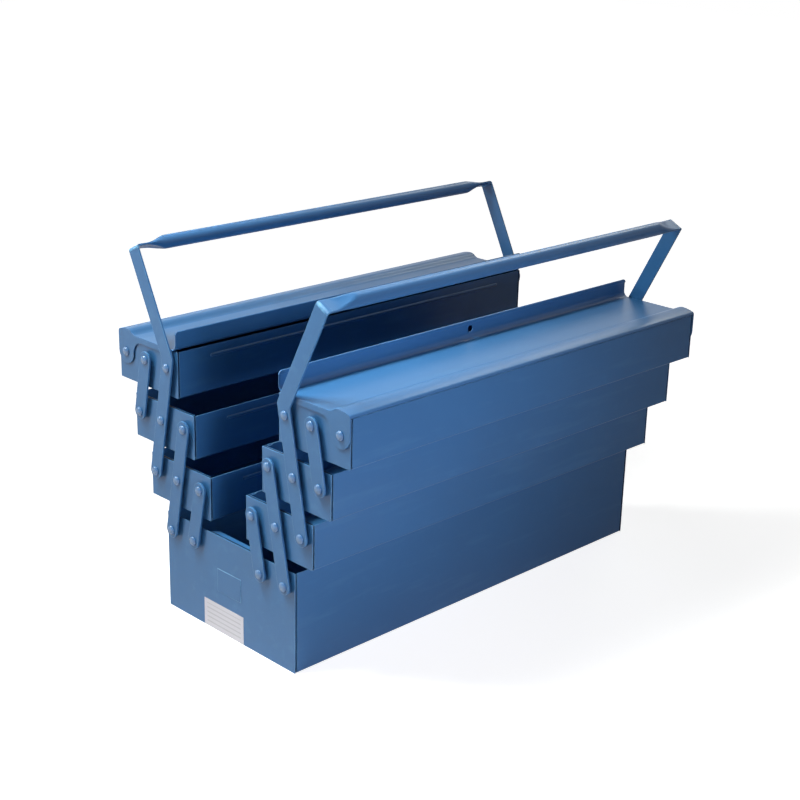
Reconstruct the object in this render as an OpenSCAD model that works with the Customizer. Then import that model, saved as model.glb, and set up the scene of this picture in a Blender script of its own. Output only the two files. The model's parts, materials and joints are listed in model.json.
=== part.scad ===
// Cantilever tool box in painted sheet steel. A base box carries, on each long side,
// three trays that swing out on parallel links. Each upper tray has a hinged lid, and
// each side has a tubular handle whose flattened arms are links of the same linkage.
// X runs along the box, Y across it and Z up, and the origin is the middle of the
// underside. The rest position is partly closed: every link leans in by the lean angle.
// One side is modelled, with Y outwards from the middle, and mirrored for the other.

/* [Base box] */
// Length of the base box and of every tray
box_l = 500; // [360:5:600]
// Width of the base box
base_w = 197; // [191:1:205]
// Height of the base box
base_h = 104.8; // [80:0.1:140]
// Thickness of the base sheet
base_sheet = 1; // [0.7:0.1:1.3]
// Length, at its fold, of the tab along the top of each end wall
base_tab_l = 64; // [40:1:76]
// Depth of that tab
base_tab_d = 8; // [5:0.5:12]

/* [Trays] */
// Height of the lower and middle trays
tray_h = 45.4; // [42:0.1:54]
// Height of the upper trays
top_tray_h = 47.6; // [44:0.1:56]
// Thickness of the tray sheet
tray_sheet = 0.9; // [0.6:0.1:1.2]
// Outside radius of the bend between a bottom and a side
bend_r = 2; // [1.6:0.1:4]
// Depth of the fold along the top of a tray's end wall
rim_d = 3.5; // [2.5:0.5:6]
// Length of the folds that join an end wall to the sides and the bottom
fold_l = 9; // [6:1:15]
// Width of the open seam between an end wall and a side
seam = 1.5; // [0.5:0.1:2.2]
// Gap between each closed stack and the middle of the box
centre_gap = 3; // [2.6:0.1:5]
// Room between a rim and the closed tray above it
stack_gap = 0.6; // [0.4:0.1:2]

/* [Bead along the inner side of a tray] */
// Outside radius of the bead
bead_r = 2; // [1.5:0.1:2.6]
// Depth of the bead below the rim
bead_drop = 10.5; // [7:0.5:16]
// Distance from the bead's ends to the ends of the box
bead_inset = 42; // [20:1:80]

/* [Linkage] */
// Distance from a tray's inner side to its first rivet
edge_rivet = 12.6; // [11:0.1:14]
// Distance between the rivets of one tray
rivet_pitch = 35.4; // [32:0.1:36.4]
// Depth of the rivets below the rim of the base and of a lower tray
rivet_drop = 15.8; // [13:0.1:18]
// Inward lean of the links at rest
lean = 11; // [0:1:30]
// Width of the links and of the handle arms
link_w = 16.4; // [13:0.1:16.8]
// Thickness of the links and of the handle arms
link_t = 2.2; // [1.6:0.1:3]
// Gap between an end wall and the links
standoff = 2.4; // [2:0.1:4]

/* [Rivets] */
// Diameter of the rivet shank
rivet_d = 5; // [4:0.1:6]
// Diameter of the domed head
head_d = 9.4; // [8.2:0.1:10]
// Height of the domed head
head_h = 2.4; // [1.6:0.1:3]
// Diameter of the shoulder that holds a link off the wall
shoulder_d = 8; // [7:0.1:9]
// Diameter of the closed end inside the box
tail_d = 8; // [7:0.1:9]
// Height of the closed end inside the box
tail_h = 1.2; // [0.8:0.1:2]
// Clearance around a rivet
rivet_gap = 0.05; // [0.02:0.01:0.1]
// Clearance at the three pivots of a side that only follow the others
loose_gap = 0.1; // [0.06:0.01:0.2]
// End play between a link and its rivet
play = 0.1; // [0.05:0.01:0.15]

/* [Lids] */
// Thickness of the lid sheet
lid_sheet = 0.9; // [0.6:0.1:1.1]
// Gap between a lid and the tray that it covers
lid_gap = 0.5; // [0.4:0.05:0.6]
// Height of the upright flange above the lid's flat top
flange_h = 19.5; // [15:0.5:26]
// Distance from the flange to the tray's inner side
flange_in = 0.5; // [0.2:0.1:2]
// Radius of the hollow between the flange and the flat top
flange_fillet = 6; // [3:0.5:9]
// Radius of the flange's upper corners
flange_corner = 4; // [2:0.5:8]
// Depth of the hem folded along the flange's edge
hem_h = 4; // [3:0.5:5]
// Diameter of the padlock hole in the flange
lock_d = 7; // [5:0.5:8]
// Depth of the padlock hole below the flange's edge
lock_drop = 9.4; // [9:0.1:11]
// Height of the flaps at the ends of a lid
flap_h = 6; // [5:0.5:9]
// Height of the ridge along the outer edge
ridge_h = 4.6; // [4.2:0.1:6]
// Radius of the ridge's back
ridge_r = 40; // [36:1:44]
// Angle that the ridge's back turns through before the lip
ridge_a = 19.5; // [17:0.5:20]
// Radius of the step up to the ridge
step_r = 10.3; // [8:0.1:12]
// Radius of the lip that ends the ridge
lip_r = 3.2; // [2.6:0.1:3.4]

/* [Handles] */
// Diameter of the round grip
grip_d = 14; // [11:0.5:16]
// Distance from the knee of an arm to the grip's axis
arm_l = 114; // [100:1:130]
// Distance from the upper rivet to the knee
knee_up = 9.4; // [8.4:0.1:11]
// Inside radius of the fold between an arm and the grip
fold_r = 1.2; // [0.6:0.1:3]
// Length of flat strap between the fold and the pressed tube
strap_l = 5; // [2:1:12]
// Length over which the tube is pressed flat
crimp_l = 34; // [20:1:50]

/* [Label and stamped panel] */
// Length of the label
label_l = 61.6; // [30:0.1:80]
// Height of the label
label_h = 29.6; // [20:0.1:38]
// Thickness of the label
label_t = 0.2; // [0.1:0.05:0.3]
// Distance of the label's middle from the middle of the end wall
label_y = 9.2; // [0:0.1:15]
// Height of the label's lower edge
label_z = 0.5; // [0.2:0.1:5]
// Length of the stamped panel
panel_l = 36; // [20:1:50]
// Height of the stamped panel
panel_h = 24.5; // [14:0.5:27]
// Height of the panel's middle
panel_z = 57; // [52:0.5:64]
// Amount that the panel stands out
panel_t = 0.4; // [0.2:0.1:0.8]

/* [Hidden] */
$fn = 48;

enamel = "#2c5f93";
paper = "#e9e9ee";

lower = 1;
middle = 2;
upper = 3;

// Linkage: one pitch across and one stack height up when the box is closed
stack_pitch = tray_h + stack_gap;
link_l = sqrt(pow(rivet_pitch, 2) + pow(stack_pitch, 2));
close_a = atan(rivet_pitch / stack_pitch);
step_in = link_l * sin(lean);
step_up = link_l * cos(lean);
tray_w = base_w / 2 - centre_gap;
rivet_up = tray_h - rivet_drop;
outer_foot = centre_gap + edge_rivet + 2 * rivet_pitch;
foot_z = base_h - rivet_drop;
knee_l = 2 * link_l + knee_up;

// Faces of the layers outside an end wall, measured from the middle of the box
wall_x = box_l / 2;
link_x = wall_x + standoff;
flap_x = wall_x + lid_gap;
lid_x = flap_x + lid_sheet;

// Lid section, measured from the upper tray's lower inner edge
lid_out = tray_w + lid_gap;
flat_z = top_tray_h + lid_gap + lid_sheet;
crest_z = flat_z + ridge_h;
crest_y = lid_out - lip_r - (ridge_r - lip_r) * sin(ridge_a);
lip_y = lid_out - lip_r;
lip_z = crest_z - ridge_r + (ridge_r - lip_r) * cos(ridge_a);
step_a = acos(1 - ridge_h / (2 * step_r));
step_run = 2 * step_r * sin(step_a);
flat_y = flange_in + lid_sheet + flange_fillet;
flange_z = flat_z + flange_h;
flange_foot = flat_z + flange_fillet;
hinge_y = edge_rivet + 2 * rivet_pitch;
flap_z = flat_z - flap_h;
ear_r = lid_out - hinge_y;
ear_y = hinge_y - ear_r;
ear_fillet = flap_z - rivet_up;
arc_n = 8;

// Inner side, underside, rivet height and full height of the tray at level n
function tray_y(n) = outer_foot + (n - 2) * rivet_pitch - n * step_in - edge_rivet;
function rivet_z(n) = foot_z + n * step_up;
function tray_z(n) = rivet_z(n) - rivet_up;
function height_of(n) = n == upper ? top_tray_h : tray_h;
function hole_y(i) = edge_rivet + i * rivet_pitch;

module front() {
    mirror([0, 1, 0]) children();
}

module right() {
    mirror([1, 0, 0]) children();
}

module both_ends() {
    children();
    right() children();
}

// Carries a section drawn in Y and Z along X
module along_x(length) {
    rotate([90, 0, 90]) linear_extrude(length) children();
}

// Trough shape with two round lower corners
module trough(w, h, r) {
    translate([r, 0]) square([w - 2 * r, h]);
    translate([0, r]) square([w, h - r]);
    for (x = [r, w - r]) translate([x, r]) circle(r);
}

// Bottom and two sides bent from one sheet, open at both ends
module pan(w, h, t) {
    length = box_l - 2 * (t + seam);
    translate([-length / 2, 0, 0]) along_x(length) difference() {
        trough(w, h, bend_r);
        translate([t, t]) trough(w - 2 * t, h, bend_r - t);
    }
}

// End wall with a fold along its top and folds laid inside the sides and the bottom
module end_wall(w, h, t, top_l, top_d) {
    top_y = (w - top_l) / 2;
    relief = bend_r + t;
    cube([t, w, h]);
    translate([0, 0, h - t]) linear_extrude(t)
        polygon([[0, top_y], [0, w - top_y], [top_d, w - top_y - top_d], [top_d, top_y + top_d]]);
    for (y = [t, w - 2 * t]) translate([0, y, relief]) cube([t + seam + fold_l, t, h - relief - t]);
    translate([0, relief, t]) cube([t + seam + fold_l, w - 2 * relief, t]);
}

// Hole for a rivet, along X
module wall_hole(y, z, depth) {
    translate([-depth, y, z]) rotate([0, 90, 0]) cylinder(r = rivet_d / 2 + rivet_gap, h = 3 * depth);
}

module bead(r, h) {
    reach = wall_x - bead_inset;
    translate([0, tray_sheet, h - bead_drop]) {
        rotate([0, 90, 0]) cylinder(r = r, h = 2 * reach, center = true);
        for (x = [-reach, reach]) translate([x, 0, 0]) sphere(r);
    }
}

module base_box() {
    color(enamel) translate([0, -base_w / 2, 0]) pan(base_w, base_h, base_sheet);
}

module base_end() {
    translate([-wall_x, -base_w / 2, 0]) difference() {
        end_wall(base_w, base_h, base_sheet, base_tab_l, base_tab_d);
        for (side = [-1, 1], foot = [outer_foot, outer_foot - rivet_pitch])
            wall_hole(base_w / 2 + side * foot, foot_z, base_sheet);
    }
}

module base_left_end() {
    color(enamel) {
        base_end();
        translate([-wall_x - panel_t, -panel_l / 2, panel_z - panel_h / 2])
            cube([panel_t, panel_l, panel_h]);
    }
}

module base_right_end() {
    color(enamel) right() base_end();
}

module label() {
    color(paper) translate([-wall_x - label_t, label_y - label_l / 2, label_z])
        cube([label_t, label_l, label_h]);
}

module tray_pan(n) {
    h = height_of(n);
    color(enamel) translate([0, tray_y(n), tray_z(n)]) difference() {
        union() {
            pan(tray_w, h, tray_sheet);
            difference() {
                bead(bead_r, h);
                translate([-wall_x, tray_sheet, 0]) cube([box_l, bead_r, h]);
            }
        }
        bead(bead_r - tray_sheet, h);
    }
}

module tray_end(n) {
    color(enamel) translate([-wall_x, tray_y(n), tray_z(n)]) difference() {
        end_wall(tray_w, height_of(n), tray_sheet, tray_w, rim_d);
        for (i = [0 : 2]) wall_hole(hole_y(i), rivet_up, tray_sheet);
    }
}

// Rivet through a wall and a turning sheet held off it, with the wall's face at z = 0
module rivet(wall, off, sheet) {
    head_z = off + sheet + play;
    dome_r = (pow(head_d / 2, 2) + pow(head_h, 2)) / (2 * head_h);
    rotate_extrude() {
        translate([0, -wall - tail_h]) square([tail_d / 2, tail_h]);
        translate([0, -wall]) square([rivet_d / 2, wall + head_z]);
        square([shoulder_d / 2, off - play]);
        intersection() {
            translate([0, head_z + head_h - dome_r]) circle(dome_r);
            translate([0, head_z]) square([head_d / 2, head_h]);
        }
    }
}

module end_rivet(y, z, wall, off, sheet) {
    both_ends() translate([-wall_x, y, z]) rotate([0, -90, 0]) rivet(wall, off, sheet);
}

module base_rivets() {
    color(enamel) for (side = [-1, 1], foot = [outer_foot, outer_foot - rivet_pitch])
        end_rivet(side * foot, foot_z, base_sheet, standoff, link_t);
}

module tray_rivets(n) {
    color(enamel) for (i = [0 : 2])
        if (n == upper && i == 2)
            end_rivet(tray_y(n) + hole_y(i), rivet_z(n), tray_sheet, lid_gap, lid_sheet);
        else
            end_rivet(tray_y(n) + hole_y(i), rivet_z(n), tray_sheet, standoff, link_t);
}

// Flat bar with round ends and a hole for each clearance in the list
module bar(gaps) {
    spans = len(gaps) - 1;
    difference() {
        union() {
            translate([-link_w / 2, 0]) square([link_w, spans * link_l]);
            for (end = [0, spans * link_l]) translate([0, end]) circle(d = link_w);
        }
        bar_holes(gaps);
    }
}

module bar_holes(gaps) {
    for (i = [0 : len(gaps) - 1]) translate([0, i * link_l]) circle(rivet_d / 2 + gaps[i]);
}

// Puts a flat shape in the layer of the links, standing on the rivet at y and z
module in_link_layer(y, z) {
    translate([-link_x - link_t, y, z]) along_x(link_t) rotate(lean) children();
}

// From the base to the middle tray, past the lower tray
module long_link() {
    color(enamel) in_link_layer(outer_foot, foot_z) bar([rivet_gap, rivet_gap, rivet_gap]);
}

// From the base to the lower tray
module inner_link() {
    color(enamel) in_link_layer(outer_foot - rivet_pitch, foot_z) bar([rivet_gap, loose_gap]);
}

// From the middle tray to the upper tray
module outer_link() {
    color(enamel) in_link_layer(tray_y(middle) + hole_y(2), rivet_z(middle)) bar([rivet_gap, loose_gap]);
}

// From the lower tray to the upper tray, then past a knee to the grip
module handle_arm() {
    gaps = [rivet_gap, loose_gap, rivet_gap];
    color(enamel) in_link_layer(tray_y(lower) + hole_y(2), rivet_z(lower)) difference() {
        union() {
            circle(d = link_w);
            translate([-link_w / 2, 0]) square([link_w, knee_l]);
            translate([0, knee_l]) rotate(-close_a) {
                circle(d = link_w);
                translate([-link_w / 2, 0]) square([link_w, arm_l - link_t / 2 - fold_r]);
            }
        }
        bar_holes(gaps);
    }
}

// Fold, flat strap and pressed tube at the left end of the grip, with the grip along X
module grip_end() {
    strap_x = link_x - fold_r;
    translate([-strap_x, 0, -link_t / 2 - fold_r]) rotate([90, 0, 0])
        linear_extrude(link_w, center = true) intersection() {
            difference() {
                circle(fold_r + link_t);
                circle(fold_r);
            }
            translate([-fold_r - link_t, 0]) square(fold_r + link_t);
        }
    translate([-strap_x, -link_w / 2, -link_t / 2]) cube([strap_l, link_w, link_t]);
    hull() {
        translate([-strap_x + strap_l - link_t, -link_w / 2, -link_t / 2])
            cube([link_t, link_w, link_t]);
        translate([-strap_x + strap_l + crimp_l, 0, 0]) rotate([0, 90, 0])
            cylinder(d = grip_d, h = link_t, $fn = 32);
    }
}

// Pressed tube that the two arms fold into
module handle_grip() {
    tube_l = 2 * (link_x - fold_r - strap_l - crimp_l);
    color(enamel) translate([0, tray_y(lower) + hole_y(2), rivet_z(lower)])
        rotate([lean, 0, 0]) translate([0, 0, knee_l])
            rotate([-close_a, 0, 0]) translate([0, 0, arm_l]) {
                both_ends() grip_end();
                rotate([0, 90, 0]) cylinder(d = grip_d, h = tube_l, center = true);
            }
}

// Points along an arc, from its start if first is 0 and without it if first is 1
function arc(y, z, r, from, to, first) =
    [for (i = [first : arc_n]) let (a = from + (to - from) * i / arc_n) [y + r * cos(a), z + r * sin(a)]];

// Line across a lid from its flange to its lip, lying d below the top surface
function lid_line(d) = concat(
    arc(flat_y, flat_z + flange_fillet, flange_fillet + d, 180, 270, 0),
    arc(crest_y - step_run, flat_z + step_r, step_r + d, 270, 270 + step_a, 0),
    arc(crest_y, crest_z - step_r, step_r - d, 90 + step_a, 90, 1),
    arc(crest_y, crest_z - ridge_r, ridge_r - d, 90, 90 - ridge_a, 1),
    arc(lip_y, lip_z, lip_r - d, 90 - ridge_a, 0, 1)
);

function backwards(points) = [for (i = [len(points) - 1 : -1 : 0]) points[i]];

// Bend at the foot of the flange, flat top, ridge and lip
module lid_section() {
    polygon(concat(lid_line(0), backwards(lid_line(lid_sheet))));
}

// Flange with its hem folded back over it
module flange_section() {
    hem_top = flange_z - lid_sheet;
    translate([flange_in, flange_foot]) square([lid_sheet, hem_top - flange_foot]);
    translate([flange_in, flange_z - hem_h]) square([2 * lid_sheet, hem_h - lid_sheet]);
    translate([flange_in + lid_sheet, hem_top]) circle(lid_sheet);
}

// Flap over the tray's end wall, growing into an ear around the hinge rivet
module flap_section() {
    intersection() {
        polygon(concat(lid_line(0), [[lid_out, 0], [flange_in + lid_sheet, 0]]));
        union() {
            translate([flat_y, flap_z]) square([lid_out - flat_y, crest_z]);
            translate([ear_y, rivet_up]) square([lid_out - ear_y, ear_fillet]);
            translate([hinge_y, rivet_up]) circle(ear_r);
            translate([ear_y - ear_fillet, rivet_up]) difference() {
                square(ear_fillet);
                circle(ear_fillet);
            }
        }
    }
}

module lock_hole() {
    translate([0, 0, flange_z - lock_drop]) rotate([-90, 0, 0])
        cylinder(d = lock_d, h = flat_y);
}

module at_lid() {
    color(enamel) translate([0, tray_y(upper), tray_z(upper)]) children();
}

module lid_top() {
    at_lid() difference() {
        translate([-flap_x, 0, 0]) along_x(2 * flap_x) lid_section();
        lock_hole();
    }
}

module lid_flange() {
    at_lid() difference() {
        translate([-lid_x, 0, 0]) along_x(2 * lid_x) flange_section();
        both_ends() translate([-lid_x, 0, flange_z - flange_corner]) flange_corner_cut();
        lock_hole();
    }
}

module lid_flap() {
    at_lid() translate([-lid_x, 0, 0]) difference() {
        along_x(lid_sheet) {
            lid_section();
            flap_section();
        }
        wall_hole(hinge_y, rivet_up, lid_sheet);
    }
}

// Waste outside the round upper corner of the flange
module flange_corner_cut() {
    difference() {
        translate([-lid_sheet, 0, 0]) cube([flange_corner + lid_sheet, flat_y, flange_corner + lid_sheet]);
        translate([flange_corner, -lid_sheet, 0]) rotate([-90, 0, 0])
            cylinder(r = flange_corner, h = flat_y + 2 * lid_sheet);
    }
}

base_box();
base_left_end();
base_right_end();
base_rivets();
label();
front() tray_pan(lower);  // front_lower_pan
front() tray_end(lower);  // front_lower_left_end
front() right() tray_end(lower);  // front_lower_right_end
front() tray_pan(middle);  // front_middle_pan
front() tray_end(middle);  // front_middle_left_end
front() right() tray_end(middle);  // front_middle_right_end
front() tray_pan(upper);  // front_upper_pan
front() tray_end(upper);  // front_upper_left_end
front() right() tray_end(upper);  // front_upper_right_end
front() tray_rivets(lower);  // front_lower_rivets
front() tray_rivets(middle);  // front_middle_rivets
front() tray_rivets(upper);  // front_upper_rivets
front() long_link();  // front_long_link_left
front() right() long_link();  // front_long_link_right
front() inner_link();  // front_inner_link_left
front() right() inner_link();  // front_inner_link_right
front() outer_link();  // front_outer_link_left
front() right() outer_link();  // front_outer_link_right
front() handle_arm();  // front_handle_left_arm
front() right() handle_arm();  // front_handle_right_arm
front() handle_grip();  // front_handle_grip
front() lid_top();  // front_lid_top
front() lid_flange();  // front_lid_flange
front() lid_flap();  // front_lid_left_flap
front() right() lid_flap();  // front_lid_right_flap
tray_pan(lower);  // back_lower_pan
tray_end(lower);  // back_lower_left_end
right() tray_end(lower);  // back_lower_right_end
tray_pan(middle);  // back_middle_pan
tray_end(middle);  // back_middle_left_end
right() tray_end(middle);  // back_middle_right_end
tray_pan(upper);  // back_upper_pan
tray_end(upper);  // back_upper_left_end
right() tray_end(upper);  // back_upper_right_end
tray_rivets(lower);  // back_lower_rivets
tray_rivets(middle);  // back_middle_rivets
tray_rivets(upper);  // back_upper_rivets
long_link();  // back_long_link_left
right() long_link();  // back_long_link_right
inner_link();  // back_inner_link_left
right() inner_link();  // back_inner_link_right
outer_link();  // back_outer_link_left
right() outer_link();  // back_outer_link_right
handle_arm();  // back_handle_left_arm
right() handle_arm();  // back_handle_right_arm
handle_grip();  // back_handle_grip
lid_top();  // back_lid_top
lid_flange();  // back_lid_flange
lid_flap();  // back_lid_left_flap
right() lid_flap();  // back_lid_right_flap
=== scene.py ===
import json
from math import asin, atan2, cos, pi, radians, sin, tau

import bmesh
import bpy
from mathutils import Matrix, Vector


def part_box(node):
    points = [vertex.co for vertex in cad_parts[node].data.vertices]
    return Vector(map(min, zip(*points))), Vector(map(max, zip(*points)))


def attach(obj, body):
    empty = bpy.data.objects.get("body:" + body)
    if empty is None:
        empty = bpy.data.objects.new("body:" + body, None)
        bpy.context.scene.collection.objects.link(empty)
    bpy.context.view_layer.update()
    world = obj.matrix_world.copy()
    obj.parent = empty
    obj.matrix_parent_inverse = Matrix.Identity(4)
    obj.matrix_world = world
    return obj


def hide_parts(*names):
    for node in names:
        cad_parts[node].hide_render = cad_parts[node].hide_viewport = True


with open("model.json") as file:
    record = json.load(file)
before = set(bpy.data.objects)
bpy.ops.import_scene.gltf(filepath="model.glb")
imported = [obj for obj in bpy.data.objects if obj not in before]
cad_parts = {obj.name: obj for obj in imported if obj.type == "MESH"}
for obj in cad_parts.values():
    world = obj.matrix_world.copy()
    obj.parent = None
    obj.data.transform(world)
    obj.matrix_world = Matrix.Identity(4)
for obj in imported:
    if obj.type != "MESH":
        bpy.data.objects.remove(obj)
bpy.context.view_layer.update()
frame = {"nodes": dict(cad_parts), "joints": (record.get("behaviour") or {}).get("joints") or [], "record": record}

MM = 0.001

# Rounding of sheet edges, and the limits for merging and marking them
FOLD_RADIUS = 0.34 * MM
LINK_RADIUS = 0.5 * MM
LID_RADIUS = 0.42 * MM
STRAP_RADIUS = 0.3 * MM
LABEL_RADIUS = 0.05 * MM
FOLD_SEGMENTS = 2
SHARP_ANGLE = radians(28)
CREST_ANGLE = radians(35)
EDGE_LAYER = "edge"
NARROW_STRIP = 0.6 * MM
FLAT_ANGLE = radians(0.4)
FLAT_WEIGHT = 100
MERGE_DISTANCE = 0.002 * MM
WELD_DISTANCE = 0.03 * MM

# Camera solved from the photograph
CAMERA_PLACE = Vector((-1.10107, -1.08393, 0.73445))
CAMERA_AZIMUTH = radians(-44.920)
CAMERA_ELEVATION = radians(19.334)
CAMERA_ROLL = radians(1.454)
FOCAL_IN_PIXELS = 1545.6
PICTURE_SIDE = 800
SENSOR_WIDTH = 36
CAMERA_REACH = 20

# Rivets: a low dome on a shank, clenched inside the box
HEAD_RADIUS = 4.7 * MM
HEAD_HEIGHT = 2.4 * MM
HEAD_RIM = 0.35 * MM
RIM_BEVEL = HEAD_RIM * 0.4
SHANK_RADIUS = 2.5 * MM
SHOULDER_RADIUS = 4 * MM
TAIL_RADIUS = 4 * MM
TAIL_HEIGHT = 1.2 * MM
TAIL_TOP_SHARE = 0.8
TAIL_SIDE_SHARE = 0.7
DOME_STEPS = 7
ROUND_STEPS = 32
END_PLAY = 0.1 * MM

# Sheets and spacing, outwards from the outer face of the end walls
WALL_X = 250 * MM
BASE_SHEET = 1 * MM
TRAY_SHEET = 0.9 * MM
LID_SHEET = 0.9 * MM
LID_GAP = 0.5 * MM
STANDOFF = 2.4 * MM
LINK_THICKNESS = 2.2 * MM

# Gap between an end wall and the pan, inside the box; the end enamel paints a near-black band of this width there
# as painted shade
SEAM = 1.5 * MM

# Handle grip: a round tube pressed flat at both ends
GRIP_RADIUS = 7 * MM
STRAP_HALF_WIDTH = 8.2 * MM
STRAP_HALF_THICKNESS = 1.1 * MM
STRAP_CUT = 248 * MM
STRAP_OVERLAP = 0.4 * MM
CRIMP_START = 244 * MM
CRIMP_END = 216 * MM
CRIMP_STEPS = 16
GRIP_SIDES = 40
SQUARENESS = 0.17
ROUNDING_RATE = 2.5
DIMPLE = 0.5 * MM
CREASE = 1.4 * MM
CREASE_WIDTH = 0.6
BEND_START = 251.8 * MM

# Colours as linear values
ENAMEL_BLUE = (0.030, 0.125, 0.300, 1)
ENAMEL_PALE = (0.038, 0.140, 0.325, 1)
ENAMEL_DEEP = (0.027, 0.113, 0.275, 1)
# Paler blue for scuffs and edge wear, also used as a painted highlight along the rounded edges
PALE_WEAR_AND_HIGHLIGHT_BLUE = (0.150, 0.360, 0.580, 1)
# Near black painted into the open seam inside the end walls, as painted shade
PAINTED_SEAM_SHADE = (0.003, 0.009, 0.022, 1)
PAPER_WHITE = (0.57, 0.55, 0.61, 1)
PAPER_SOILED = (0.47, 0.45, 0.51, 1)
RULE_GREY = (0.30, 0.29, 0.33, 1)
FLOOR_WHITE = (0.55, 0.55, 0.56, 1)

COOL_WHITE = (0.97, 1.0, 0.93)
BLUE_WHITE = (0.95, 0.90, 1.0)

# Enamel: how coarse each pattern is, which range of its noise counts, and how strongly it shows
SHADE_SCALE = 6
SHADE_LIMITS = (0.30, 0.70)
SPECKLE_SCALE = 60
SPECKLE_LIMITS = (0.55, 0.80)
SPECKLE_SHARE = 0.35
# Paler edges, partly wear and partly a painted highlight: the noise scale, range and strength of the mark
EDGE_WEAR_AND_HIGHLIGHT_SCALE = 110
EDGE_WEAR_AND_HIGHLIGHT_LIMITS = (0.38, 0.62)
LEAST_EDGE_WEAR_AND_HIGHLIGHT = 0.15
MOST_EDGE_WEAR_AND_HIGHLIGHT = 0.85
SCUFF_SCALE = 70
SCUFF_LIMITS = (0.55, 0.85)
SCUFF_STRETCH = (0.12, 1, 1)
SCUFF_SHARE = 0.12
SMUDGE_SCALE = 14
SMUDGE_LIMITS = (0.25, 0.75)
SMOOTHEST = 0.28
ROUGHEST = 0.38
PEEL_SCALE = 700
PEEL_SHARE = 0.12
WAVE_SCALE = 9
WAVE_HEIGHT = 0.2 * MM
SHEET_SHINE = 0.32
RIVET_SHINE = 0.95
RIVET_POLISH = 0.09

# Paper label: fibres, and ruled lines inside a margin, as shares of its length and height
FIBRE_SCALE = 700
FIBRE_LIMITS = (0.3, 0.7)
FIBRE_HEIGHT = 0.02 * MM
SOILED_SHARE = 0.3
PAPER_SMOOTHEST = 0.38
PAPER_ROUGHEST = 0.52
RULE_COUNT = 6
RULE_WIDTH = 0.045
RULE_SHARE = 0.55
RULES_ACROSS = (0.07, 0.93)
RULES_UP = (0.10, 0.86)

# Floor and backdrop, with distances in metres
FLOOR_HALF_SIZE = 6
FLOOR_ROUGHNESS = 0.8
FLOOR_SHINE = 0.1
SHADOW_KEPT_TO = 0.35
SHADOW_GONE_AT = 0.9
GLOW_NEAR = 0.84
WORLD_LEVEL = 0.02

# How bright the white surroundings look in the enamel's gloss: in the world, and along the floor
GLOSS_WORLD = 1.05
GLOSS_LEFT = 1.6
GLOSS_RIGHT = 0.35
GLOSS_LEFT_X = -0.8
GLOSS_RIGHT_X = 0.2

SIDES = ("front", "back")


# Helpers that add and join shader nodes
def new_material(name):
    material = bpy.data.materials.new(name)
    material.use_nodes = True
    tree = material.node_tree
    shader = tree.nodes["Principled BSDF"]
    return material, tree, shader


def add_node(tree, kind, **settings):
    node = tree.nodes.new(kind)
    for key, value in settings.items():
        setattr(node, key, value)
    return node


def noise(tree, place, scale, detail=3, roughness=0.5, stretch=(1, 1, 1)):
    mapping = add_node(tree, "ShaderNodeMapping")
    mapping.inputs["Scale"].default_value = stretch
    tree.links.new(place, mapping.inputs["Vector"])
    texture = add_node(tree, "ShaderNodeTexNoise")
    texture.inputs["Scale"].default_value = scale
    texture.inputs["Detail"].default_value = detail
    texture.inputs["Roughness"].default_value = roughness
    tree.links.new(mapping.outputs["Vector"], texture.inputs["Vector"])
    return texture.outputs["Fac"]


def ramp(tree, value, low, high, start=0.0, end=1.0):
    rescale = add_node(tree, "ShaderNodeMapRange")
    rescale.inputs["From Min"].default_value = low
    rescale.inputs["From Max"].default_value = high
    rescale.inputs["To Min"].default_value = start
    rescale.inputs["To Max"].default_value = end
    tree.links.new(value, rescale.inputs["Value"])
    return rescale.outputs["Result"]


def mix_colours(tree, amount, first, second):
    mix = add_node(tree, "ShaderNodeMix", data_type="RGBA")
    tree.links.new(amount, mix.inputs["Factor"])
    for colour, socket in ((first, mix.inputs["A"]), (second, mix.inputs["B"])):
        if isinstance(colour, tuple):
            socket.default_value = colour
        else:
            tree.links.new(colour, socket)
    return mix.outputs["Result"]


def math_node(tree, operation, first, second=0):
    node = add_node(tree, "ShaderNodeMath", operation=operation)
    for value, socket in ((first, node.inputs[0]), (second, node.inputs[1])):
        if isinstance(value, (int, float)):
            socket.default_value = value
        else:
            tree.links.new(value, socket)
    return node.outputs["Value"]


def bump(tree, shader, height, distance):
    node = add_node(tree, "ShaderNodeBump")
    node.inputs["Distance"].default_value = distance
    node.inputs["Strength"].default_value = 1
    tree.links.new(height, node.inputs["Height"])
    tree.links.new(node.outputs["Normal"], shader.inputs["Normal"])


def object_place(tree):
    return add_node(tree, "ShaderNodeTexCoord").outputs["Object"]


# Sprayed blue enamel with orange peel, faint scuffs and smudges, and paler edges: partly rubbed wear, partly a
# painted highlight along the bends.
# Polish lowers its roughness, and the seam band is painted near black along the box, as painted shade inside the
# open seam.
def enamel(name, polish=0.0, shine=SHEET_SHINE, seam_shade_band=None):
    material, tree, shader = new_material(name)
    place = object_place(tree)
    colour = enamel_colour(tree, place)
    # Painted shade: a near-black band where the open seam lies, inside the end walls
    if seam_shade_band:
        gap = band(tree, distance_along_box(tree, place), *seam_shade_band)
        colour = mix_colours(tree, gap, colour, PAINTED_SEAM_SHADE)
    tree.links.new(colour, shader.inputs["Base Color"])
    smudges = noise(tree, place, SMUDGE_SCALE, detail=2)
    roughness = ramp(tree, smudges, *SMUDGE_LIMITS, start=SMOOTHEST - polish, end=ROUGHEST - polish)
    tree.links.new(roughness, shader.inputs["Roughness"])
    shader.inputs["Specular IOR Level"].default_value = shine
    peel = math_node(tree, "MULTIPLY", noise(tree, place, PEEL_SCALE, detail=2), PEEL_SHARE)
    waves = noise(tree, place, WAVE_SCALE, detail=0)
    bump(tree, shader, math_node(tree, "ADD", peel, waves), WAVE_HEIGHT)
    return material


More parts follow.
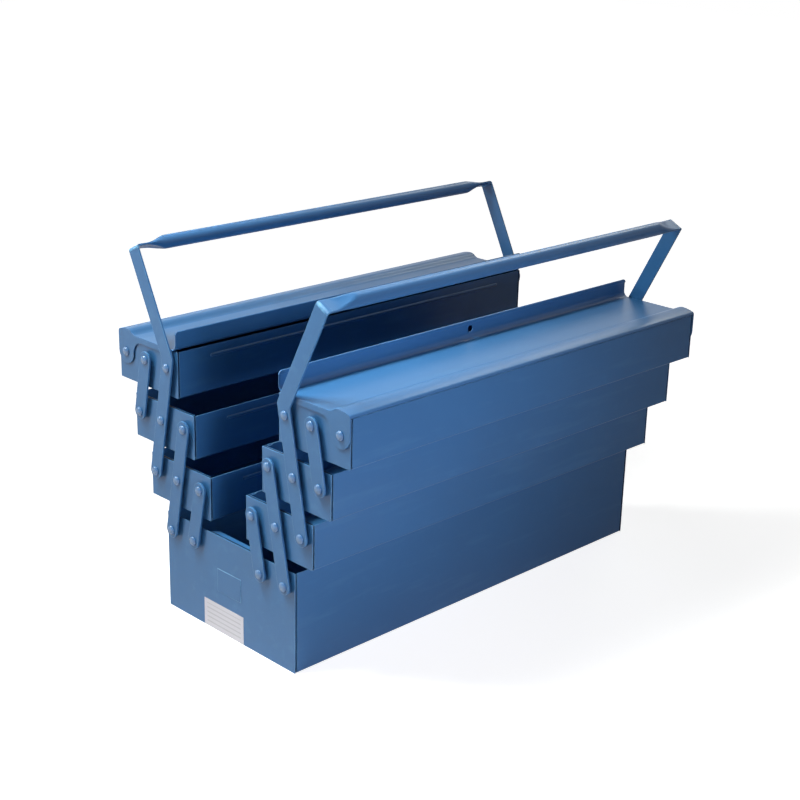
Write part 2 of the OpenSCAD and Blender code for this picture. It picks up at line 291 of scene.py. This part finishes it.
def enamel_colour(tree, place):
    shades = noise(tree, place, SHADE_SCALE, detail=2)
    colour = mix_colours(tree, ramp(tree, shades, *SHADE_LIMITS), ENAMEL_DEEP, ENAMEL_BLUE)
    speckles = noise(tree, place, SPECKLE_SCALE, detail=4, roughness=0.6)
    pale = ramp(tree, speckles, *SPECKLE_LIMITS, start=0, end=SPECKLE_SHARE)
    colour = mix_colours(tree, pale, colour, ENAMEL_PALE)
    # Paler edges: rubbed wear mixed with a painted highlight along every rounded crest
    edge = add_node(tree, "ShaderNodeAttribute", attribute_name=EDGE_LAYER).outputs["Fac"]
    edge_wear_and_highlight_noise = noise(tree, place, EDGE_WEAR_AND_HIGHLIGHT_SCALE, detail=4)
    edge_wear_and_highlight = ramp(tree, edge_wear_and_highlight_noise, *EDGE_WEAR_AND_HIGHLIGHT_LIMITS, start=LEAST_EDGE_WEAR_AND_HIGHLIGHT, end=MOST_EDGE_WEAR_AND_HIGHLIGHT)
    colour = mix_colours(tree, math_node(tree, "MULTIPLY", edge, edge_wear_and_highlight), colour, PALE_WEAR_AND_HIGHLIGHT_BLUE)
    scuffs = noise(tree, place, SCUFF_SCALE, detail=3, roughness=0.6, stretch=SCUFF_STRETCH)
    scuffed = ramp(tree, scuffs, *SCUFF_LIMITS, start=0, end=SCUFF_SHARE)
    return mix_colours(tree, scuffed, colour, PALE_WEAR_AND_HIGHLIGHT_BLUE)


# Plain paper label with a few ruled lines inside a margin; low and high are its corners
def label_paper(low, high):
    material, tree, shader = new_material("label_paper")
    place = object_place(tree)
    split = add_node(tree, "ShaderNodeSeparateXYZ")
    tree.links.new(place, split.inputs["Vector"])
    across = ramp(tree, split.outputs["Y"], low.y, high.y)
    up = ramp(tree, split.outputs["Z"], low.z, high.z)
    fibres = noise(tree, place, FIBRE_SCALE, detail=4)
    soiled = ramp(tree, fibres, *FIBRE_LIMITS, start=0, end=SOILED_SHARE)
    colour = mix_colours(tree, soiled, PAPER_WHITE, PAPER_SOILED)
    in_width = band(tree, across, *RULES_ACROSS)
    inside = math_node(tree, "MULTIPLY", in_width, band(tree, up, *RULES_UP))
    ruled = math_node(tree, "MULTIPLY", stripes(tree, up, RULE_COUNT, RULE_WIDTH), inside)
    colour = mix_colours(tree, math_node(tree, "MULTIPLY", ruled, RULE_SHARE), colour, RULE_GREY)
    tree.links.new(colour, shader.inputs["Base Color"])
    roughness = ramp(tree, fibres, *FIBRE_LIMITS, start=PAPER_SMOOTHEST, end=PAPER_ROUGHEST)
    tree.links.new(roughness, shader.inputs["Roughness"])
    bump(tree, shader, fibres, FIBRE_HEIGHT)
    return material


# Distance from the middle of the box along X
def distance_along_box(tree, place):
    split = add_node(tree, "ShaderNodeSeparateXYZ")
    tree.links.new(place, split.inputs["Vector"])
    return math_node(tree, "ABSOLUTE", split.outputs["X"])


# One where value lies between low and high, otherwise zero
def band(tree, value, low, high):
    above = math_node(tree, "GREATER_THAN", value, low)
    below = math_node(tree, "LESS_THAN", value, high)
    return math_node(tree, "MULTIPLY", above, below)


# Thin lines at even spacing, count of them across the range from 0 to 1
def stripes(tree, value, count, width):
    saw = math_node(tree, "FRACT", math_node(tree, "MULTIPLY", value, count))
    return math_node(tree, "LESS_THAN", saw, width * count)


# Share of the white backdrop that a ray sees: all of it for the camera and through glass,
# and the given share in a gloss
def seen_white(tree, share):
    rays = add_node(tree, "ShaderNodeLightPath")
    mirrored = math_node(tree, "MULTIPLY", rays.outputs["Is Glossy Ray"], share)
    straight = rays.outputs["Is Camera Ray"]
    clear = math_node(tree, "MAXIMUM", straight, rays.outputs["Is Transmission Ray"])
    return math_node(tree, "MAXIMUM", clear, mirrored)


# Pale floor that keeps a soft shadow near the object and fades to white around it
def floor_finish():
    material, tree, shader = new_material("floor_finish")
    place = object_place(tree)
    shader.inputs["Base Color"].default_value = FLOOR_WHITE
    shader.inputs["Roughness"].default_value = FLOOR_ROUGHNESS
    shader.inputs["Specular IOR Level"].default_value = FLOOR_SHINE
    distance = add_node(tree, "ShaderNodeVectorMath", operation="LENGTH")
    tree.links.new(place, distance.inputs[0])
    away = distance.outputs["Value"]
    level = ramp(tree, away, SHADOW_KEPT_TO, SHADOW_GONE_AT, start=GLOW_NEAR, end=1)
    split = add_node(tree, "ShaderNodeSeparateXYZ")
    tree.links.new(place, split.inputs["Vector"])
    along = split.outputs["X"]
    mirrored = ramp(tree, along, GLOSS_LEFT_X, GLOSS_RIGHT_X, start=GLOSS_LEFT, end=GLOSS_RIGHT)
    strength = math_node(tree, "MULTIPLY", seen_white(tree, mirrored), level)
    glow = add_node(tree, "ShaderNodeEmission")
    glow.inputs["Color"].default_value = (1, 1, 1, 1)
    tree.links.new(strength, glow.inputs["Strength"])
    both = add_node(tree, "ShaderNodeAddShader")
    tree.links.new(shader.outputs["BSDF"], both.inputs[0])
    tree.links.new(glow.outputs["Emission"], both.inputs[1])
    tree.links.new(both.outputs["Shader"], tree.nodes["Material Output"].inputs["Surface"])
    return material


# Turn a finished shape into an object with smooth bends and flat faces
def finish_mesh(bm, name, material):
    mark_edges(bm)
    mesh = bpy.data.meshes.new(name)
    bm.to_mesh(mesh)
    bm.free()
    mesh.materials.append(material)
    mesh.shade_smooth()
    mesh.set_sharp_from_angle(angle=SHARP_ANGLE)
    piece = bpy.data.objects.new(name, mesh)
    bpy.context.scene.collection.objects.link(piece)
    flatten = piece.modifiers.new("flat_faces", "WEIGHTED_NORMAL")
    flatten.keep_sharp = True
    flatten.weight = FLAT_WEIGHT
    return piece


# Layer for the paler edges, which are partly wear and partly a painted highlight: one along the crest of every
# rounded edge and zero on the flat sheet
def mark_edges(bm):
    layer = bm.verts.layers.float.new(EDGE_LAYER)
    bm.normal_update()
    for vert in bm.verts:
        bends = [edge.calc_face_angle(0) for edge in vert.link_edges if edge.is_manifold]
        narrow = all(
            face.calc_area() < NARROW_STRIP * max(edge.calc_length() for edge in face.edges)
            for face in vert.link_faces
        )
        vert[layer] = 1.0 if narrow and bends and max(bends) > CREST_ANGLE else 0.0


def sharp_edges(bm):
    return [edge for edge in bm.edges if edge.is_manifold and edge.calc_face_angle(0) > SHARP_ANGLE]


def round_edges(bm, radius):
    bmesh.ops.bevel(
        bm, geom=sharp_edges(bm), offset=radius, offset_type="OFFSET", affect="EDGES",
        segments=FOLD_SEGMENTS, profile=0.5, material=-1, clamp_overlap=False,
    )


# Merged copy of a frame node's mesh
def node_copy(node):
    bm = bmesh.new()
    bm.from_mesh(frame["nodes"][node].data)
    bmesh.ops.remove_doubles(bm, verts=bm.verts, dist=MERGE_DISTANCE)
    bmesh.ops.dissolve_limit(bm, angle_limit=FLAT_ANGLE, verts=bm.verts, edges=bm.edges)
    return bm


# Add one shape to another
def pour(bm, whole):
    part = bpy.data.meshes.new("part")
    bm.to_mesh(part)
    bm.free()
    whole.from_mesh(part)
    bpy.data.meshes.remove(part)


# Copy of a frame node with its sharp sheet edges rounded over
def softened(node, material, radius=FOLD_RADIUS):
    bm = node_copy(node)
    round_edges(bm, radius)
    return finish_mesh(bm, node + "_formed", material)


# Joint positions say where the pivot rivets sit; the rest of a side's rivets repeat their spacing
PIVOT = {joint["name"]: Vector(joint["pos_m"]) for joint in frame["joints"]}


def rivet_places(side):
    base_outer = PIVOT[side + "_swing"]
    base_inner = PIVOT[side + "_inner_links"]
    lower_middle = PIVOT[side + "_lower_tray"]
    middle_inner = PIVOT[side + "_middle_tray"]
    lower_outer = PIVOT[side + "_handle"]
    upper_inner = PIVOT[side + "_upper_tray"]
    middle_outer = PIVOT[side + "_outer_links"]
    rise = lower_middle - base_outer
    return {
        "base": [base_outer, base_inner],
        "lower": [base_inner + rise, lower_middle, lower_outer],
        "middle": [middle_inner, lower_outer + rise, middle_outer],
        "upper": [upper_inner, middle_outer + rise],
        "hinge": [PIVOT[side + "_lid"]],
    }


# Half outline of a rivet from its clenched end inside the box to the top of its dome.
# Each point is its distance along X from the wall's outer face, and its radius.
def rivet_outline(wall, gap, sheet):
    seat = gap + sheet + END_PLAY
    outline = [
        (-wall - TAIL_HEIGHT, 0),
        (-wall - TAIL_HEIGHT, TAIL_RADIUS * TAIL_TOP_SHARE),
        (-wall - TAIL_HEIGHT * TAIL_SIDE_SHARE, TAIL_RADIUS),
        (-wall, TAIL_RADIUS),
        (-wall, SHANK_RADIUS),
        (0, SHANK_RADIUS),
        (0, SHOULDER_RADIUS),
        (gap - END_PLAY, SHOULDER_RADIUS),
        (gap - END_PLAY, SHANK_RADIUS),
        (seat, SHANK_RADIUS),
        (seat, HEAD_RADIUS - RIM_BEVEL),
        (seat + RIM_BEVEL, HEAD_RADIUS),
    ]
    for step in range(1, DOME_STEPS + 1):
        angle = step / DOME_STEPS * pi / 2
        rise = HEAD_RIM + (HEAD_HEIGHT - HEAD_RIM) * sin(angle)
        outline.append((seat + rise, HEAD_RADIUS * cos(angle)))
    return outline


def turned_rivet(place, outward, outline):
    bm = bmesh.new()
    verts = [bm.verts.new((along, radius, 0)) for along, radius in outline]
    edges = [bm.edges.new(pair) for pair in zip(verts, verts[1:])]
    bmesh.ops.spin(
        bm, geom=verts + edges, axis=(1, 0, 0), cent=(0, 0, 0), angle=tau,
        steps=ROUND_STEPS, use_merge=True,
    )
    bmesh.ops.remove_doubles(bm, verts=bm.verts, dist=MERGE_DISTANCE)
    bmesh.ops.scale(bm, vec=(outward, 1, 1), verts=bm.verts)
    bmesh.ops.translate(bm, vec=(outward * WALL_X, place.y, place.z), verts=bm.verts)
    bmesh.ops.recalc_face_normals(bm, faces=bm.faces)
    return bm


# Rivets of one node, at both ends of the box: a list of places, each with its outline
def rivet_set(node, rivets, material):
    whole = bmesh.new()
    for place, outline in rivets:
        for outward in (-1, 1):
            pour(turned_rivet(place, outward, outline), whole)
    return finish_mesh(whole, node + "_formed", material)


# Ring of the grip, where share runs from 0 for the flat strap to 1 for the round tube.
# In between, the tube is dented along its top and underside and bulges at its sides.
def pressed_ring(bm, x, share):
    ease = share * share * (3 - 2 * share)
    middle = sin(pi * share) ** 2
    half_width = STRAP_HALF_WIDTH + (GRIP_RADIUS - STRAP_HALF_WIDTH) * ease + DIMPLE * middle
    half_height = STRAP_HALF_THICKNESS + (GRIP_RADIUS - STRAP_HALF_THICKNESS) * ease
    power = SQUARENESS + (1 - SQUARENESS) * min(1, share * ROUNDING_RATE)
    ring = bmesh.ops.create_circle(bm, segments=GRIP_SIDES, radius=1)["verts"]
    for vert in ring:
        across, up = vert.co.x, vert.co.y
        wide = half_width * abs(across) ** power * (1 if across > 0 else -1)
        valley = CREASE * middle * max(0, 1 - (across / CREASE_WIDTH) ** 2)
        high = (half_height * abs(up) ** power - valley) * (1 if up > 0 else -1)
        vert.co = (x, wide, high)
    return list(dict.fromkeys(edge for vert in ring for edge in vert.link_edges))


# Round tube with its ends pressed flat, along X through the origin
def grip_tube():
    bm = bmesh.new()
    stations = [(-STRAP_CUT - STRAP_OVERLAP, 0.0)]
    for step in range(CRIMP_STEPS + 1):
        share = step / CRIMP_STEPS
        stations.append((-CRIMP_START + share * (CRIMP_START - CRIMP_END), share))
    stations += [(-x, share) for x, share in reversed(stations)]
    rings = [pressed_ring(bm, x, share) for x, share in stations]
    for first, second in zip(rings, rings[1:]):
        bmesh.ops.bridge_loops(bm, edges=first + second)
    bmesh.ops.holes_fill(bm, edges=rings[0] + rings[-1])
    bmesh.ops.recalc_face_normals(bm, faces=bm.faces)
    return bm


# Folds at both ends of the frame's grip, without the tube between them
def grip_folds(node):
    whole = bmesh.new()
    for end in (-1, 1):
        bm = node_copy(node)
        cut = bmesh.ops.bisect_plane(
            bm, geom=bm.verts[:] + bm.edges[:] + bm.faces[:],
            plane_co=(end * STRAP_CUT, 0, 0), plane_no=(-end, 0, 0), clear_outer=True,
        )
        rim = [item for item in cut["geom_cut"] if isinstance(item, bmesh.types.BMEdge)]
        bmesh.ops.holes_fill(bm, edges=rim)
        round_edges(bm, STRAP_RADIUS)
        pour(bm, whole)
    return whole


# Whole grip: the tube between its two folded straps, with the folds painted pale, partly as wear and partly as a
# painted highlight on the bends
def handle_grip(side, material):
    node = side + "_handle_grip"
    tube = grip_tube()
    turn = Matrix.Rotation(handle_turn(side), 3, "X")
    bmesh.ops.rotate(tube, cent=(0, 0, 0), matrix=turn, verts=tube.verts)
    bmesh.ops.translate(tube, vec=grip_middle(node), verts=tube.verts)
    whole = grip_folds(node)
    pour(tube, whole)
    piece = finish_mesh(whole, node + "_formed", material)
    # Folds painted pale all over, partly as wear and partly as a painted highlight on the bends
    wear_and_highlight = piece.data.attributes[EDGE_LAYER].data
    for vert in piece.data.vertices:
        if abs(vert.co.x) > BEND_START:
            wear_and_highlight[vert.index].value = 1
    return piece


# Middle of the round stretch of the frame's grip
def grip_middle(node):
    places = [vert.co for vert in frame["nodes"][node].data.vertices]
    places = [place for place in places if abs(place.x) < CRIMP_END + MM]
    depths = [place.y for place in places]
    heights = [place.z for place in places]
    return Vector((0, (min(depths) + max(depths)) / 2, (min(heights) + max(heights)) / 2))


# Turn about X of a handle's arms: how far they lean past the links when the box is shut
def handle_turn(side):
    link = PIVOT[side + "_lower_tray"] - PIVOT[side + "_swing"]
    pitch = abs(PIVOT[side + "_swing"].y - PIVOT[side + "_inner_links"].y)
    turn = asin(pitch / link.length) - atan2(abs(link.y), link.z)
    return turn if side == "front" else -turn


# Lid folded from one sheet: the frame's four lid nodes welded and rounded along the folds
def folded_lid(side, material):
    nodes = [side + "_lid_" + part for part in ("top", "left_flap", "right_flap", "flange")]
    shells = []
    for node in nodes:
        shells.append(finish_mesh(node_copy(node), node + "_sheet", material))
    body = shells[0]
    for other in shells[1:]:
        weld = body.modifiers.new(other.name, "BOOLEAN")
        weld.operation = "UNION"
        weld.solver = "EXACT"
        weld.object = other
    welded = body.evaluated_get(bpy.context.evaluated_depsgraph_get())
    bm = bmesh.new()
    bm.from_mesh(welded.to_mesh())
    for shell in shells:
        bpy.data.objects.remove(shell)
    bmesh.ops.remove_doubles(bm, verts=bm.verts, dist=WELD_DISTANCE)
    bmesh.ops.dissolve_limit(bm, angle_limit=FLAT_ANGLE, verts=bm.verts, edges=bm.edges)
    round_edges(bm, LID_RADIUS)
    bmesh.ops.remove_doubles(bm, verts=bm.verts, dist=MERGE_DISTANCE)
    bmesh.ops.holes_fill(bm, edges=[edge for edge in bm.edges if edge.is_boundary])
    return finish_mesh(bm, side + "_lid_formed", material)


def place_camera():
    data = bpy.data.cameras.new("camera")
    data.sensor_width = SENSOR_WIDTH
    data.lens = FOCAL_IN_PIXELS / PICTURE_SIDE * SENSOR_WIDTH
    data.clip_end = CAMERA_REACH
    camera = bpy.data.objects.new("camera", data)
    turn = Matrix.Rotation(CAMERA_AZIMUTH, 4, "Z")
    tilt = Matrix.Rotation(pi / 2 - CAMERA_ELEVATION, 4, "X")
    roll = Matrix.Rotation(CAMERA_ROLL, 4, "Z")
    camera.matrix_world = Matrix.Translation(CAMERA_PLACE) @ turn @ tilt @ roll
    bpy.context.scene.collection.objects.link(camera)
    bpy.context.scene.camera = camera


# Flat rectangular lamp at place, turned to face aim; spread is in degrees
def soft_box(name, place, aim, width, height, power, spread, tint):
    data = bpy.data.lights.new(name, "AREA")
    data.shape = "RECTANGLE"
    data.size = width
    data.size_y = height
    data.energy = power
    data.spread = radians(spread)
    data.color = tint
    lamp = bpy.data.objects.new(name, data)
    lamp.location = Vector(place)
    lamp.rotation_euler = (Vector(aim) - Vector(place)).to_track_quat("-Z", "Y").to_euler()
    bpy.context.scene.collection.objects.link(lamp)


def light_studio():
    near_end = (-0.25, 0, 0.2)
    near_side = (-0.22, -0.17, 0.25)
    near_lid = (-0.18, -0.1, 0.3)
    soft_box(
        "left_light", (-1.3, 1.15, 0.85), near_end,
        width=0.2, height=0.3, power=4.4, spread=120, tint=COOL_WHITE,
    )
    soft_box(
        "top_light", (-0.75, 0.35, 1.35), near_end,
        width=0.4, height=0.4, power=4.3, spread=100, tint=COOL_WHITE,
    )
    soft_box(
        "lid_light", (-0.4, 0.25, 1.0), near_lid,
        width=0.3, height=0.3, power=1.35, spread=55, tint=COOL_WHITE,
    )
    soft_box(
        "right_light", (1.1, 0.25, 1.25), near_lid,
        width=0.6, height=0.5, power=0.45, spread=50, tint=COOL_WHITE,
    )
    soft_box(
        "front_light", (-0.55, -1.45, 0.36), near_side,
        width=0.6, height=0.5, power=0.8, spread=70, tint=BLUE_WHITE,
    )
    soft_box(
        "side_light", (-0.30, -0.95, 0.31), near_side,
        width=0.4, height=0.3, power=0.55, spread=58, tint=BLUE_WHITE,
    )


# White to look at, but with hardly any light of its own on the object
def white_surroundings():
    world = bpy.data.worlds.new("studio")
    bpy.context.scene.world = world
    world.use_nodes = True
    tree = world.node_tree
    backdrop = tree.nodes["Background"]
    backdrop.inputs["Color"].default_value = (1, 1, 1, 1)
    strength = ramp(tree, seen_white(tree, GLOSS_WORLD), 0, 1, start=WORLD_LEVEL, end=1)
    tree.links.new(strength, backdrop.inputs["Strength"])


def lay_floor():
    bm = bmesh.new()
    bmesh.ops.create_grid(bm, x_segments=1, y_segments=1, size=FLOOR_HALF_SIZE)
    floor = finish_mesh(bm, "floor", floor_finish())


# Which body carries each node
RECORD = frame["record"]
BODY_OF = {
    node: body for body, nodes in RECORD["behaviour"]["bodies"].items() for node in nodes
}


def dress(piece, *nodes):
    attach(piece, BODY_OF[nodes[0]])
    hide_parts(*nodes)


# Rivet list of every node that holds rivets
def all_rivets():
    base = rivet_outline(BASE_SHEET, STANDOFF, LINK_THICKNESS)
    tray = rivet_outline(TRAY_SHEET, STANDOFF, LINK_THICKNESS)
    hinge = rivet_outline(TRAY_SHEET, LID_GAP, LID_SHEET)
    sets = {"base_rivets": []}
    for side in SIDES:
        places = rivet_places(side)
        sets["base_rivets"] += [(place, base) for place in places["base"]]
        for level in ("lower", "middle", "upper"):
            sets[f"{side}_{level}_rivets"] = [(place, tray) for place in places[level]]
        sets[f"{side}_upper_rivets"] += [(place, hinge) for place in places["hinge"]]
    return sets


# Nodes that are plain sheets and flat bars, with their edges rounded
def make_sheets(nodes, blue, folded):
    for node in nodes:
        flat_bar = "_link_" in node or "_arm" in node
        finish = folded if node.endswith("_end") else blue
        dress(softened(node, finish, LINK_RADIUS if flat_bar else FOLD_RADIUS), node)


def make_pieces():
    blue = enamel("blue_enamel")
    bright = enamel("rivet_enamel", polish=RIVET_POLISH, shine=RIVET_SHINE)
    wall_inside = WALL_X - TRAY_SHEET
    # End walls, with painted shade in the seam band
    folded = enamel("end_enamel", seam_shade_band=(wall_inside - SEAM, wall_inside))
    done = set()
    for node, rivets in all_rivets().items():
        dress(rivet_set(node, rivets, bright), node)
        done.add(node)
    for side in SIDES:
        dress(handle_grip(side, blue), side + "_handle_grip")
        lid_nodes = [side + "_lid_" + part for part in ("top", "flange", "left_flap", "right_flap")]
        dress(folded_lid(side, blue), *lid_nodes)
        done.update(lid_nodes, [side + "_handle_grip"])
    dress(softened("label", label_paper(*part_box("label")), LABEL_RADIUS), "label")
    done.add("label")
    make_sheets([node for node in frame["nodes"] if node not in done], blue, folded)


make_pieces()
lay_floor()
light_studio()
white_surroundings()
place_camera()
bpy.context.scene.view_settings.view_transform = "Standard"
